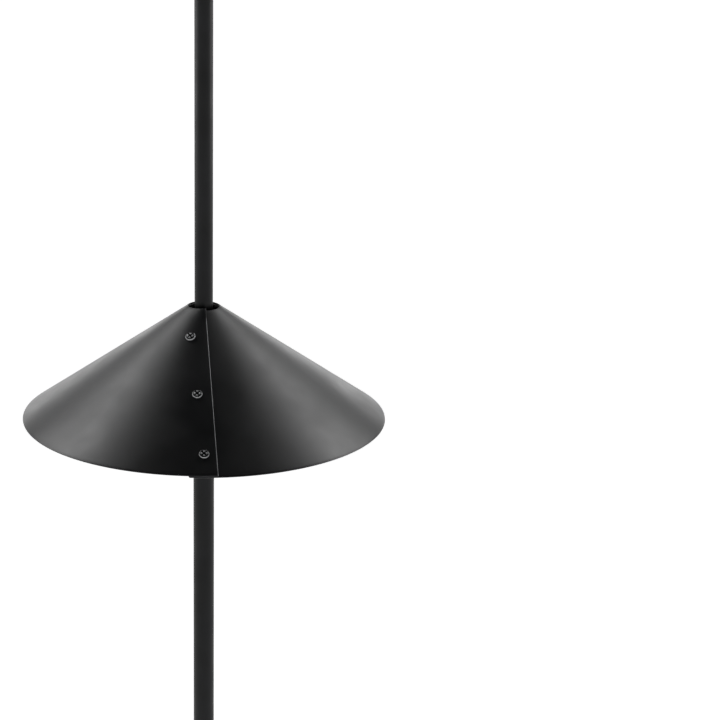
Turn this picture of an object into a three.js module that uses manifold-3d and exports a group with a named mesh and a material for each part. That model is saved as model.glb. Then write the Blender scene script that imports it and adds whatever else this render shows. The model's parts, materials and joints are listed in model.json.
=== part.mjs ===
// Conical squirrel baffle on a telescoping garden pole, ready to carry a bird feeder.
// Units are millimetres, +Z is up, and z = 0 is the ground on the pole's axis.
// The baffle is one sheet rolled into a cone and screwed along its overlap. It rests on a domed
// hub that turns on a clamp collar, so it can spin and tilt, and the collar clamps the upper pole.
import * as THREE from 'three';
import { mergeVertices } from 'three/addons/utils/BufferGeometryUtils.js';
import Module from 'manifold-3d';

const wasm = await Module();
wasm.setup();

// ---------------------------------------------------------------- driving dimensions
const TAU = 2 * Math.PI;
const degrees = (value) => (value * Math.PI) / 180;

// Fits
const SLIDE_FIT = 0.1; // radial gap of one tube in another
const SEAT_GAP = 0.1; // between pieces stacked square to each other
const LOOSE_GAP = 0.3; // between pieces set at a slant, or cut to a round neighbour

// Poles
const LOWER_RADIUS = 12.7;
const LOWER_WALL = 1.5;
const UPPER_WALL = 1.2;
const UPPER_RADIUS = LOWER_RADIUS - LOWER_WALL - SLIDE_FIT;
const LOWER_TOP = 1210; // height of the lower pole's top above the ground
const POLE_BURIED = 140; // length of the lower pole below the ground
const UPPER_LENGTH = 996;
const TELESCOPE_OVERLAP = 380; // length of the upper pole inside the lower one
const POLE_SIDES = 48;

// Baffle sheet, measured along its slope from the point where the cone would come together
const RIM_RADIUS = 219.4;
const HOLE_RADIUS = 18.4;
const SLOPE = degrees(34.77);
const SHEET = 0.8;
const LAYER_GAP = 0.3;
const SEAM_STEP = 1.5; // how much lower the inner end of the sheet sits than the outer end
// The sheet's two ends are straight cuts, given by their angles on the flat blank.
const OUTER_EDGE = { atHole: degrees(5.9), atRim: degrees(3.6) };
const INNER_EDGE = { atHole: degrees(-24), atRim: degrees(-21) };
const SCREW_ROW = { fromHole: 43.1, fromRim: 29.9, firstAngle: degrees(-13.7), lastAngle: degrees(0.1) };
const SCREW_COUNT = 3;
const CORNER_STOP = 18.2; // the inner end's lower corner is trimmed level up to here, left of the middle
const SHEET_COLUMNS = 96;
const SHEET_ROWS = 2;

// M6 fasteners
const M6_RADIUS = 3;
const M6_HEAD_RADIUS = 6;
const M6_HEAD_HEIGHT = 3.6;
const M6_NUT_FLATS = 10;
const M6_NUT_HEIGHT = 5;
const M6_WASHER_RADIUS = 6;
const M6_WASHER_THICKNESS = 1.2;
const THREAD_CLEARANCE = 0.3;
const SEAM_SCREW_LENGTH = 14;
const FASTENER_SIDES = 16;

// Shape of every pan-head screw, as shares of its own radius, head radius and head height
const TIP_CHAMFER = 0.16;
const HEAD_EDGE = 0.35;
const RECESS_DEPTH = 0.6;
const RECESS_LENGTH = 1.05;
const RECESS_WIDTH = 0.22;
const CROWN_ANGLES = [degrees(35), degrees(65)];

// Clamp collar and its liners
const LINER_THICKNESS = 2.5;
const COLLAR_WALL = 7;
const COLLAR_HEIGHT = 22;
const COLLAR_SPLIT = 3;
const EAR_REACH = 15;
const EAR_THICKNESS = 8;
const EAR_HEIGHT = 16;
const EAR_ROOT = 1; // how far an ear runs into the ring that it grows from
const M5_RADIUS = 2.5;
const M5_HEAD_RADIUS = 4.6;
const M5_HEAD_HEIGHT = 3;
const M5_NUT_FLATS = 8;
const M5_NUT_HEIGHT = 4;
const M5_SPARE_THREAD = 2; // past the nut

// Domed hub
const DOME_RADIUS = 45;
const DOME_LIP_RADIUS = HOLE_RADIUS + 2.1; // just outside the baffle's hole
const DOME_SKIRT_RADIUS = 33;
const DOME_WALL = 3;
const HUB_SIDES = 36;
const DOME_FOOT = 12; // from the hub's underside up to the centre of its dome
const HUB_CLEARANCE = 0.9;
const HUB_SLEEVE_RISE = 8;
const HUB_SPLIT = 1;
const HUB_EAR_REACH = 10;
const HUB_EAR_THICKNESS = 7;
const M4_RADIUS = 2;
const M4_HEAD_RADIUS = 4;
const M4_HEAD_HEIGHT = 2.6;

// Pole lock: ferrule, welded boss, screw and knob
const FERRULE_LIP = 3;
const FERRULE_SKIRT = 12;
const FERRULE_WALL = 1.8;
const FERRULE_CHAMFER = 1;
const COLLAR_RISE = 0.5; // the collar stands this far above the ferrule
const LOCK_DROP = 26; // lock screw below the top of the lower pole
const BOSS_RADIUS = 7;
const BOSS_REACH = LOWER_RADIUS + 9.3; // from the pole's axis to the boss's face
const LOCK_STANDOFF = 2;
const KNOB_RADIUS = 12;
const KNOB_LENGTH = 13;
const KNOB_CAP = 3; // closed end of the knob
const KNOB_LOBES = 6;
const KNOB_LOBE_DEPTH = 0.16; // share of the knob's radius between a lobe and a hollow

// Ground base
const PLATE_WIDTH = 130;
const PLATE_THICKNESS = 4;
const PLATE_CORNER = 14;
const SOCKET_WALL = 1.5;
const SOCKET_HEIGHT = 84;
const SOCKET_RADIUS = LOWER_RADIUS + SLIDE_FIT + SOCKET_WALL;
const GUSSET_HEIGHT = 52;
const GUSSET_THICKNESS = 3;
const GUSSET_TOE = 6; // square end of a gusset's two legs
const GUSSET_TO_PRONG = 7.3; // from a gusset's outer end to the prong's head
const PRONG_RADIUS = 4.5;
const PRONG_DEPTH = 190;
const PRONG_POINT = 30;
const PRONG_OFFSET = PLATE_WIDTH / 2 - 17;
const PRONG_HEAD_RADIUS = 8;
const PRONG_HEAD_HEIGHT = 4;
const SPIKE_POINT = 62;
const SPIKE_SHANK = 30;
const SPIKE_SHOULDER = 8;
const BASE_SCREW_HEIGHT = PLATE_THICKNESS + SOCKET_HEIGHT - 20;

// Feeder flange
const FLANGE_RADIUS = 50.8;
const FLANGE_THICKNESS = 3;
const FLANGE_SOCKET_WALL = 2;
const FLANGE_SOCKET_LENGTH = 50;
const FLANGE_FLARE = 11;
const FLARE_KNEE = 0.3; // share of the flare's width and height left at its bend
const FLANGE_HOLE_RADIUS = 2.6;
const FLANGE_HOLE_CIRCLE = FLANGE_RADIUS - 12.8;
const FLANGE_HOLE_COUNT = 4;
const FLANGE_SCREW_DROP = 32;

// ---------------------------------------------------------------- sizes and heights that follow
const poleTop = LOWER_TOP - TELESCOPE_OVERLAP + UPPER_LENGTH;
const collarBase = LOWER_TOP + FERRULE_LIP + COLLAR_RISE;
const domeCentre = collarBase + COLLAR_HEIGHT + SEAT_GAP + DOME_FOOT;
const coneApex = domeCentre + (DOME_RADIUS + LOOSE_GAP) / Math.cos(SLOPE);
const holeSlant = HOLE_RADIUS / Math.cos(SLOPE);
const rimSlant = RIM_RADIUS / Math.cos(SLOPE);
const liningInner = UPPER_RADIUS + SLIDE_FIT;
const collarInner = liningInner + LINER_THICKNESS + SEAT_GAP;
const collarOuter = collarInner + COLLAR_WALL;

// ---------------------------------------------------------------- materials
function material(color, roughness, metalness) {
  return new THREE.MeshStandardMaterial({ color, roughness, metalness });
}
const powderCoat = material(0x161719, 0.45, 0.2);
const poleEnamel = material(0x1a1b1d, 0.5, 0.3);
const blackScrew = material(0x202226, 0.35, 0.7);
const zincSteel = material(0x9a9da0, 0.4, 0.9);
const blackNylon = material(0x1c1c1e, 0.6, 0);
const linerRubber = material(0x111111, 0.9, 0);

// ---------------------------------------------------------------- solid tools
// Welds a geometry's shared corners and drops triangles that closed up, as at a lathe's poles.
function welded(geometry) {
  const bare = geometry.clone();
  bare.deleteAttribute('normal');
  bare.deleteAttribute('uv');
  const merged = mergeVertices(bare, 1e-4);
  const corners = merged.index.array;
  const kept = [];
  for (let i = 0; i < corners.length; i += 3) {
    const [a, b, c] = [corners[i], corners[i + 1], corners[i + 2]];
    if (a !== b && b !== c && c !== a) kept.push(a, b, c);
  }
  merged.setIndex(kept);
  return merged;
}

function toSolid(geometry) {
  const source = welded(geometry);
  const vertProperties = new Float32Array(source.attributes.position.array);
  const triVerts = new Uint32Array(source.index.array);
  return new wasm.Manifold(new wasm.Mesh({ numProp: 3, vertProperties, triVerts }));
}

function toGeometry(solid) {
  const mesh = solid.getMesh();
  const geometry = new THREE.BufferGeometry();
  geometry.setAttribute('position', new THREE.BufferAttribute(mesh.vertProperties, 3));
  geometry.setIndex(new THREE.BufferAttribute(mesh.triVerts, 1));
  return geometry;
}

function cut(geometry, tools) {
  let solid = toSolid(geometry);
  for (const tool of tools) solid = solid.subtract(toSolid(tool));
  return toGeometry(solid);
}

function join(geometries) {
  let solid = toSolid(geometries[0]);
  for (const geometry of geometries.slice(1)) solid = solid.add(toSolid(geometry));
  return toGeometry(solid);
}

// Turns a profile of [radius, height] points about Z. Points run up the outside and down the inside.
function turned(profile, sides = POLE_SIDES) {
  const points = profile.map(([radius, height]) => new THREE.Vector2(radius, height));
  return new THREE.LatheGeometry(points, sides).rotateX(Math.PI / 2);
}

function tube(inner, outer, low, high, sides = POLE_SIDES) {
  return turned([[outer, low], [outer, high], [inner, high], [inner, low], [outer, low]], sides);
}

function rod(radius, low, high, sides = FASTENER_SIDES) {
  return turned([[0, low], [radius, low], [radius, high], [0, high]], sides);
}

function block(width, depth, height) {
  return new THREE.BoxGeometry(width, depth, height);
}

function plate(shape, thickness) {
  return new THREE.ExtrudeGeometry(shape, { depth: thickness, bevelEnabled: false, curveSegments: 12 });
}

function roundHole(radius, x = 0, y = 0) {
  return new THREE.Path().absarc(x, y, radius, 0, TAU, true);
}

function polygon(sides, radius) {
  const corners = Array.from({ length: sides }, (_, i) => {
    const angle = (i * TAU) / sides;
    return new THREE.Vector2(radius * Math.cos(angle), radius * Math.sin(angle));
  });
  return new THREE.Shape(corners);
}

function addPart(parent, name, geometry, finish) {
  const mesh = new THREE.Mesh(welded(geometry), finish);
  mesh.name = name;
  parent.add(mesh);
  return mesh;
}

function addGroup(parent, x = 0, y = 0, z = 0) {
  const group = new THREE.Group();
  group.position.set(x, y, z);
  parent.add(group);
  return group;
}

// ---------------------------------------------------------------- fasteners
// Pan-head cross-recess screw: head above z = 0, shank below it.
function panScrew(radius, length, headRadius, headHeight) {
  const tip = TIP_CHAMFER * radius;
  const edge = HEAD_EDGE * headHeight;
  const crown = CROWN_ANGLES.map((angle) => [
    headRadius * Math.sqrt(Math.cos(angle)),
    edge + (headHeight - edge) * Math.sin(angle),
  ]);
  const shank = [[0, -length], [radius - tip, -length], [radius, tip - length], [radius, 0]];
  const head = [[headRadius, 0], [headRadius, edge], ...crown, [0, headHeight]];
  const body = turned([...shank, ...head], FASTENER_SIDES);
  const recess = RECESS_DEPTH * headHeight;
  const slots = [45, 135].map((angle) => {
    const slot = block(RECESS_LENGTH * headRadius, RECESS_WIDTH * headRadius, 2 * recess);
    return slot.rotateZ(degrees(angle)).translate(0, 0, headHeight);
  });
  return cut(body, slots);
}

function hexNut(flats, height, threadRadius) {
  const shape = polygon(6, flats / Math.sqrt(3));
  shape.holes.push(roundHole(threadRadius + THREAD_CLEARANCE));
  return plate(shape, height);
}

// ---------------------------------------------------------------- ground base
function stepPlate() {
  const half = PLATE_WIDTH / 2;
  const inset = half - PLATE_CORNER;
  const shape = new THREE.Shape();
  shape.absarc(inset, inset, PLATE_CORNER, 0, TAU / 4);
  shape.absarc(-inset, inset, PLATE_CORNER, TAU / 4, TAU / 2);
  shape.absarc(-inset, -inset, PLATE_CORNER, TAU / 2, (3 * TAU) / 4);
  shape.absarc(inset, -inset, PLATE_CORNER, (3 * TAU) / 4, TAU);
  shape.holes.push(roundHole(LOWER_RADIUS + LOOSE_GAP));
  for (const [x, y] of prongPlaces()) shape.holes.push(roundHole(PRONG_RADIUS + LOOSE_GAP, x, y));
  return plate(shape, PLATE_THICKNESS);
}

function prongPlaces() {
  return [[1, 1], [-1, 1], [-1, -1], [1, -1]].map(([x, y]) => [x * PRONG_OFFSET, y * PRONG_OFFSET]);
}

// Pointed rod dropped through the plate, held by its domed head.
function prong() {
  const seat = PLATE_THICKNESS + SEAT_GAP;
  const crown = CROWN_ANGLES.map((angle) => [
    PRONG_HEAD_RADIUS * Math.cos(angle),
    seat + PRONG_HEAD_HEIGHT * Math.sin(angle),
  ]);
  const shank = [[0, -PRONG_DEPTH], [PRONG_RADIUS, PRONG_POINT - PRONG_DEPTH], [PRONG_RADIUS, seat]];
  const head = [[PRONG_HEAD_RADIUS, seat], ...crown, [0, seat + PRONG_HEAD_HEIGHT]];
  return turned([...shank, ...head], FASTENER_SIDES);
}

// Flat brace from the socket out towards a prong, drawn in its own plane and then stood upright.
function gusset() {
  const foot = SOCKET_RADIUS + LOOSE_GAP;
  const length = Math.hypot(PRONG_OFFSET, PRONG_OFFSET) - PRONG_HEAD_RADIUS - GUSSET_TO_PRONG - foot;
  const shape = new THREE.Shape();
  shape.moveTo(0, 0);
  shape.lineTo(length, 0);
  shape.lineTo(length, GUSSET_TOE);
  shape.lineTo(GUSSET_TOE, GUSSET_HEIGHT);
  shape.lineTo(0, GUSSET_HEIGHT);
  const web = plate(shape, GUSSET_THICKNESS).translate(0, 0, -GUSSET_THICKNESS / 2).rotateX(Math.PI / 2);
  return web.translate(foot, 0, PLATE_THICKNESS + SEAT_GAP);
}

function groundSpike() {
  const bottom = -POLE_BURIED - SEAT_GAP;
  const plug = LOWER_RADIUS - LOWER_WALL - LOOSE_GAP;
  return turned([
    [0, bottom - SPIKE_POINT],
    [LOWER_RADIUS, bottom - SPIKE_SHOULDER],
    [LOWER_RADIUS, bottom],
    [plug, bottom],
    [plug, bottom + SPIKE_SHANK],
    [0, bottom + SPIKE_SHANK],
  ]);
}

// A screw set square into the pole. The group's +Z points away from the pole's axis.
function addSetScrew(parent, name, height, poleRadius, socketRadius) {
  const nutFace = socketRadius + LOOSE_GAP;
  const side = addGroup(parent, 0, 0, height);
  side.rotation.x = Math.PI / 2;
  const nut = hexNut(M6_NUT_FLATS, M6_NUT_HEIGHT, M6_RADIUS).translate(0, 0, nutFace);
  addPart(side, `${name}_nut`, nut, zincSteel);
  const seat = nutFace + M6_NUT_HEIGHT + LOOSE_GAP;
  const length = seat - poleRadius - LOOSE_GAP;
  const screw = panScrew(M6_RADIUS, length, M6_HEAD_RADIUS, M6_HEAD_HEIGHT).translate(0, 0, seat);
  addPart(side, `${name}_screw`, screw, blackScrew);
}

// Cutter for a set screw's hole through a socket wall, on the -Y side.
function setScrewHole(height) {
  const hole = rod(M6_RADIUS + THREAD_CLEARANCE, 0, 2 * LOWER_RADIUS);
  return hole.rotateX(Math.PI / 2).translate(0, 0, height);
}

function addGroundBase(parent) {
  const foot = PLATE_THICKNESS + SEAT_GAP;
  addPart(parent, 'step_plate', stepPlate(), poleEnamel);
  const socket = tube(LOWER_RADIUS + SLIDE_FIT, SOCKET_RADIUS, foot, foot + SOCKET_HEIGHT);
  addPart(parent, 'base_socket', cut(socket, [setScrewHole(BASE_SCREW_HEIGHT)]), poleEnamel);
  for (let i = 0; i < 4; i += 1) {
    const spoke = addGroup(parent);
    spoke.rotation.z = (i * TAU) / 4 + TAU / 8;
    addPart(spoke, `gusset_${i + 1}`, gusset(), poleEnamel);
  }
  prongPlaces().forEach(([x, y], i) => {
    addPart(addGroup(parent, x, y), `prong_${i + 1}`, prong(), poleEnamel);
  });
  addPart(parent, 'ground_spike', groundSpike(), zincSteel);
  addSetScrew(parent, 'base_lock', BASE_SCREW_HEIGHT, LOWER_RADIUS, SOCKET_RADIUS);
}

// ---------------------------------------------------------------- poles and their lock
function lowerPole() {
  const wall = tube(LOWER_RADIUS - LOWER_WALL, LOWER_RADIUS, -POLE_BURIED, LOWER_TOP);
  const lockHole = rod(M6_RADIUS + THREAD_CLEARANCE, 0, 2 * LOWER_RADIUS).rotateY(Math.PI / 2);
  return cut(wall, [lockHole.translate(0, 0, LOWER_TOP - LOCK_DROP)]);
}

function upperPole() {
  return tube(UPPER_RADIUS - UPPER_WALL, UPPER_RADIUS, poleTop - UPPER_LENGTH, poleTop);
}

// Moulded ring over the lower pole's mouth that guides the upper pole.
function ferrule() {
  const skirtInner = LOWER_RADIUS + SLIDE_FIT;
  const outer = skirtInner + FERRULE_WALL;
  const guide = UPPER_RADIUS + SLIDE_FIT;
  return turned([
    [outer, LOWER_TOP - FERRULE_SKIRT],
    [outer, LOWER_TOP + FERRULE_LIP - FERRULE_CHAMFER],
    [outer - FERRULE_CHAMFER, LOWER_TOP + FERRULE_LIP],
    [guide, LOWER_TOP + FERRULE_LIP],
    [guide, LOWER_TOP + SEAT_GAP],
    [skirtInner, LOWER_TOP + SEAT_GAP],
    [skirtInner, LOWER_TOP - FERRULE_SKIRT],
    [outer, LOWER_TOP - FERRULE_SKIRT],
  ]);
}

// Short tube that carries the lock screw, its end cut to sit on the round pole.
function lockBoss() {
  const sleeve = tube(M6_RADIUS + THREAD_CLEARANCE, BOSS_RADIUS, 0, BOSS_REACH, FASTENER_SIDES);
  const pole = rod(LOWER_RADIUS + LOOSE_GAP, -2 * BOSS_RADIUS, 2 * BOSS_RADIUS, POLE_SIDES);
  return cut(sleeve, [pole.rotateY(Math.PI / 2)]);
}

// Lobed grip with a blind bore from its near face.
function knob() {
  const count = KNOB_LOBES * 8;
  const outline = Array.from({ length: count }, (_, i) => {
    const angle = (i * TAU) / count;
    const radius = KNOB_RADIUS * (1 - (KNOB_LOBE_DEPTH * (1 - Math.cos(KNOB_LOBES * angle))) / 2);
    return new THREE.Vector2(radius * Math.cos(angle), radius * Math.sin(angle));
  });
  const grip = plate(new THREE.Shape(outline), KNOB_LENGTH);
  const depth = KNOB_LENGTH - KNOB_CAP;
  const bore = rod(M6_RADIUS + THREAD_CLEARANCE, -depth, depth);
  return cut(grip, [bore]);
}

function addPoleLock(parent) {
  const side = addGroup(parent, 0, 0, LOWER_TOP - LOCK_DROP);
  side.rotation.y = Math.PI / 2;
  addPart(side, 'lock_boss', lockBoss(), poleEnamel);
  const knobFace = BOSS_REACH + LOCK_STANDOFF;
  const tip = UPPER_RADIUS + LOOSE_GAP;
  const end = knobFace + KNOB_LENGTH - KNOB_CAP - LOOSE_GAP;
  addPart(side, 'lock_screw', rod(M6_RADIUS, tip, end), zincSteel);
  addPart(side, 'lock_knob', knob().translate(0, 0, knobFace), blackNylon);
}

// ---------------------------------------------------------------- clamp collar
// Front half of the collar: a ring and a bar across it make the eared clamp, and the rear is cut off.
function collarHalf() {
  const ring = tube(collarInner, collarOuter, 0, COLLAR_HEIGHT, HUB_SIDES);
  const reach = collarOuter + EAR_REACH;
  const ears = block(2 * reach, COLLAR_SPLIT + 2 * EAR_THICKNESS, EAR_HEIGHT);
  ears.translate(0, 0, COLLAR_HEIGHT / 2);
  const bar = join([ring, cut(ears, [rod(collarOuter - EAR_ROOT, 0, COLLAR_HEIGHT)])]);
  const spare = 2 * reach;
  const otherHalf = block(2 * spare, spare, 2 * spare).translate(0, spare / 2 - COLLAR_SPLIT / 2, 0);
  const bolts = [-1, 1].map((side) => {
    const hole = rod(M5_RADIUS + THREAD_CLEARANCE, -spare, spare).rotateX(Math.PI / 2);
    return hole.translate(side * earBoltPlace(), 0, COLLAR_HEIGHT / 2);
  });
  return cut(bar, [otherHalf, ...bolts]);
}

function earBoltPlace() {
  return collarOuter + EAR_REACH / 2;
}

function liner() {
  const ring = tube(liningInner, liningInner + LINER_THICKNESS, 0, COLLAR_HEIGHT);
  const spare = 4 * collarOuter;
  return cut(ring, [block(spare, spare, spare).translate(0, spare / 2 - COLLAR_SPLIT / 2, 0)]);
}

function addCollar(parent) {
  const collar = addGroup(parent, 0, 0, collarBase);
  const ear = COLLAR_SPLIT / 2 + EAR_THICKNESS + LOOSE_GAP;
  ['front', 'rear'].forEach((side, i) => {
    const half = addGroup(collar);
    half.rotation.z = (i * TAU) / 2;
    addPart(half, `collar_${side}`, collarHalf(), blackNylon);
    addPart(half, `liner_${side}`, liner(), linerRubber);
  });
  ['left', 'right'].forEach((side, i) => {
    const bolt = addGroup(collar, (2 * i - 1) * earBoltPlace(), -ear, COLLAR_HEIGHT / 2);
    bolt.rotation.x = Math.PI / 2;
    const length = 2 * ear + M5_NUT_HEIGHT + M5_SPARE_THREAD;
    const screw = panScrew(M5_RADIUS, length, M5_HEAD_RADIUS, M5_HEAD_HEIGHT);
    addPart(bolt, `collar_screw_${side}`, screw, blackScrew);
    const nut = hexNut(M5_NUT_FLATS, M5_NUT_HEIGHT, M5_RADIUS).translate(0, 0, -2 * ear - M5_NUT_HEIGHT);
    addPart(bolt, `collar_nut_${side}`, nut, zincSteel);
  });
}

// ---------------------------------------------------------------- domed hub
function domePoint(radius) {
  return [radius, Math.sqrt(DOME_RADIUS ** 2 - radius ** 2)];
}

// Ring with a spherical crown and a central sleeve, heights measured from the dome's centre.
function hubRing() {
  const sleeve = UPPER_RADIUS + HUB_CLEARANCE;
  const steps = 4;
  const crown = Array.from({ length: steps + 1 }, (_, i) =>
    domePoint(DOME_SKIRT_RADIUS + ((DOME_LIP_RADIUS - DOME_SKIRT_RADIUS) * i) / steps),
  );
  const lip = domePoint(DOME_LIP_RADIUS)[1] - DOME_WALL;
  const shoulder = domePoint(DOME_SKIRT_RADIUS)[1] - DOME_WALL;
  return turned([
    [DOME_SKIRT_RADIUS, -DOME_FOOT],
    ...crown,
    [DOME_LIP_RADIUS, lip],
    [DOME_SKIRT_RADIUS - DOME_WALL, shoulder],
    [DOME_SKIRT_RADIUS - DOME_WALL, DOME_WALL - DOME_FOOT],
    [sleeve + DOME_WALL, DOME_WALL - DOME_FOOT],
    [sleeve + DOME_WALL, HUB_SLEEVE_RISE],
    [sleeve, HUB_SLEEVE_RISE],
    [sleeve, -DOME_FOOT],
    [DOME_SKIRT_RADIUS, -DOME_FOOT],
  ], HUB_SIDES);
}

function hubScrewPlace() {
  return DOME_SKIRT_RADIUS + HUB_EAR_REACH / 2;
}

// One half of the hub, on the +X side. The right half takes the screws' threads.
function hubHalf(threaded) {
  const span = 2 * (DOME_SKIRT_RADIUS + HUB_EAR_REACH);
  const ears = block(HUB_SPLIT + 2 * HUB_EAR_THICKNESS, span, DOME_FOOT).translate(0, 0, -DOME_FOOT / 2);
  const middle = rod(DOME_SKIRT_RADIUS - EAR_ROOT, -2 * DOME_FOOT, DOME_FOOT);
  const whole = join([hubRing(), cut(ears, [middle])]);
  const otherHalf = block(span, 2 * span, 4 * DOME_RADIUS).translate((HUB_SPLIT - span) / 2, 0, 0);
  const bore = threaded ? M4_RADIUS + THREAD_CLEARANCE : M4_RADIUS + 2 * THREAD_CLEARANCE;
  const holes = [-1, 1].map((side) => {
    const hole = rod(bore, -span, span).rotateY(Math.PI / 2);
    return hole.translate(0, side * hubScrewPlace(), -DOME_FOOT / 2);
  });
  return cut(whole, [otherHalf, ...holes]);
}

function addHub(parent) {
  const hub = addGroup(parent, 0, 0, domeCentre);
  addPart(hub, 'hub_right', hubHalf(true), blackNylon);
  const left = addGroup(hub);
  left.rotation.z = TAU / 2;
  addPart(left, 'hub_left', hubHalf(false), blackNylon);
  ['front', 'rear'].forEach((side, i) => {
    const seat = -HUB_SPLIT / 2 - HUB_EAR_THICKNESS - LOOSE_GAP;
    const screw = addGroup(hub, seat, (2 * i - 1) * hubScrewPlace(), -DOME_FOOT / 2);
    screw.rotation.y = -Math.PI / 2;
    const pan = panScrew(M4_RADIUS, 2 * HUB_EAR_THICKNESS, M4_HEAD_RADIUS, M4_HEAD_HEIGHT);
    addPart(screw, `hub_screw_${side}`, pan, blackScrew);
  });
}

// ---------------------------------------------------------------- baffle sheet
// Places a point of the flat blank on the rolled cone. Azimuth is 0 at the front (-Y) and grows
// towards +X. The sheet winds back from its outer end, and one turn later it lies a layer deeper
// and SEAM_STEP further down the slope. Heights are measured from the cone's apex.
function conePoint(slant, azimuth, lift) {
  const turns = azimuth / TAU;
  const along = slant - turns * SEAM_STEP;
  const offset = lift + (1 + turns) * (SHEET + LAYER_GAP);
  const radius = along * Math.cos(SLOPE) + offset * Math.sin(SLOPE);
  const height = offset * Math.cos(SLOPE) - along * Math.sin(SLOPE);
  return new THREE.Vector3(radius * Math.sin(azimuth), -radius * Math.cos(azimuth), height);
}

function blankPoint(slant, angle) {
  return new THREE.Vector2(slant * Math.sin(angle), slant * Math.cos(angle));
}

// Azimuth where a straight cut across the blank, from its hole to its rim, crosses a given slant.
function edgeAzimuth(edge, slant) {
  const start = blankPoint(holeSlant, edge.atHole);
  const run = blankPoint(rimSlant, edge.atRim).sub(start);
  const along = start.dot(run);
  const reach = run.lengthSq() * (slant ** 2 - holeSlant ** 2);
  const share = (Math.sqrt(along ** 2 + reach) - along) / run.lengthSq();
  const point = start.addScaledVector(run, share);
  return Math.atan2(point.x, point.y) / Math.cos(SLOPE);
}

// The screws stand evenly on a straight row of the blank.
function seamScrewPlaces() {
  const first = blankPoint(holeSlant + SCREW_ROW.fromHole, SCREW_ROW.firstAngle);
  const last = blankPoint(rimSlant - SCREW_ROW.fromRim, SCREW_ROW.lastAngle);
  return Array.from({ length: SCREW_COUNT }, (_, i) => {
    const point = first.clone().lerp(last, i / (SCREW_COUNT - 1));
    return { slant: point.length(), azimuth: Math.atan2(point.x, point.y) / Math.cos(SLOPE) };
  });
}

// Closed skin of the rolled sheet: a grid of points on each face, stitched together round its edge.
function rolledSheet() {
  const positions = [];
  for (const lift of [0, SHEET]) {
    for (let row = 0; row <= SHEET_ROWS; row += 1) {
      const slant = holeSlant + ((rimSlant - holeSlant) * row) / SHEET_ROWS;
      const outerEnd = edgeAzimuth(OUTER_EDGE, slant);
      const innerEnd = edgeAzimuth(INNER_EDGE, slant) - TAU;
      for (let column = 0; column <= SHEET_COLUMNS; column += 1) {
        const azimuth = innerEnd + ((outerEnd - innerEnd) * column) / SHEET_COLUMNS;
        positions.push(...conePoint(slant, azimuth, lift).toArray());
      }
    }
  }
  const perRow = SHEET_COLUMNS + 1;
  const perFace = perRow * (SHEET_ROWS + 1);
  const at = (face, row, column) => face * perFace + row * perRow + column;
  const faces = [];
  const quad = (a, b, c, d) => faces.push(a, b, c, a, c, d);
  for (let row = 0; row < SHEET_ROWS; row += 1) {
    for (let column = 0; column < SHEET_COLUMNS; column += 1) {
      quad(at(1, row, column), at(1, row + 1, column), at(1, row + 1, column + 1), at(1, row, column + 1));
      quad(at(0, row, column), at(0, row, column + 1), at(0, row + 1, column + 1), at(0, row + 1, column));
    }
    quad(at(0, row, 0), at(0, row + 1, 0), at(1, row + 1, 0), at(1, row, 0));
    const end = SHEET_COLUMNS;
    quad(at(0, row, end), at(1, row, end), at(1, row + 1, end), at(0, row + 1, end));
  }
  for (let column = 0; column < SHEET_COLUMNS; column += 1) {
    quad(at(0, 0, column), at(1, 0, column), at(1, 0, column + 1), at(0, 0, column + 1));
    const rim = SHEET_ROWS;
    quad(at(0, rim, column), at(0, rim, column + 1), at(1, rim, column + 1), at(1, rim, column));
  }
  const geometry = new THREE.BufferGeometry();
  geometry.setAttribute('position', new THREE.Float32BufferAttribute(positions, 3));
  geometry.setIndex(faces);
  return geometry;
}

// Cutter for the inner end's lower corner, which would hang below the outer layer's rim. It is a
// block across the front, just under the outer layer, from beyond the inner end to CORNER_STOP.
function hiddenCorner() {
  const end = conePoint(rimSlant, edgeAzimuth(INNER_EDGE, rimSlant), 0);
  const spare = 4 * (SEAM_STEP + SHEET);
  const beyond = end.x - spare;
  const corner = block(-CORNER_STOP - beyond, RIM_RADIUS, spare);
  return corner.translate((beyond - CORNER_STOP) / 2, end.y, end.z - SEAT_GAP - spare / 2);
}

function baffleCone() {
  const through = 4 * (2 * SHEET + LAYER_GAP);
  const holes = seamScrewPlaces().map(({ slant, azimuth }) => {
    const centre = conePoint(slant, azimuth, 0);
    const cutter = rod(M6_RADIUS + THREAD_CLEARANCE, -through, through).rotateX(SLOPE).rotateZ(azimuth);
    return cutter.translate(centre.x, centre.y, centre.z);
  });
  return cut(rolledSheet(), [hiddenCorner(), ...holes]);
}

function addBaffle(parent) {
  const baffle = addGroup(parent, 0, 0, coneApex);
  addPart(baffle, 'baffle_cone', baffleCone(), powderCoat);
  const insideFace = -(2 * LOOSE_GAP + 2 * SHEET + LAYER_GAP);
  const nutFace = insideFace - M6_WASHER_THICKNESS - LOOSE_GAP;
  seamScrewPlaces().forEach(({ slant, azimuth }, i) => {
    const place = conePoint(slant, azimuth, SHEET + LOOSE_GAP);
    const set = addGroup(baffle, place.x, place.y, place.z);
    set.rotation.set(SLOPE, 0, azimuth, 'ZXY');
    const screw = panScrew(M6_RADIUS, SEAM_SCREW_LENGTH, M6_HEAD_RADIUS, M6_HEAD_HEIGHT);
    addPart(set, `seam_screw_${i + 1}`, screw, blackScrew);
    const bore = M6_RADIUS + THREAD_CLEARANCE;
    const washerFoot = insideFace - M6_WASHER_THICKNESS;
    const washer = tube(bore, M6_WASHER_RADIUS, washerFoot, insideFace, FASTENER_SIDES);
    addPart(set, `seam_washer_${i + 1}`, washer, zincSteel);
    const nut = hexNut(M6_NUT_FLATS, M6_NUT_HEIGHT, M6_RADIUS).translate(0, 0, nutFace - M6_NUT_HEIGHT);
    addPart(set, `seam_nut_${i + 1}`, nut, zincSteel);
  });
}

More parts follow.
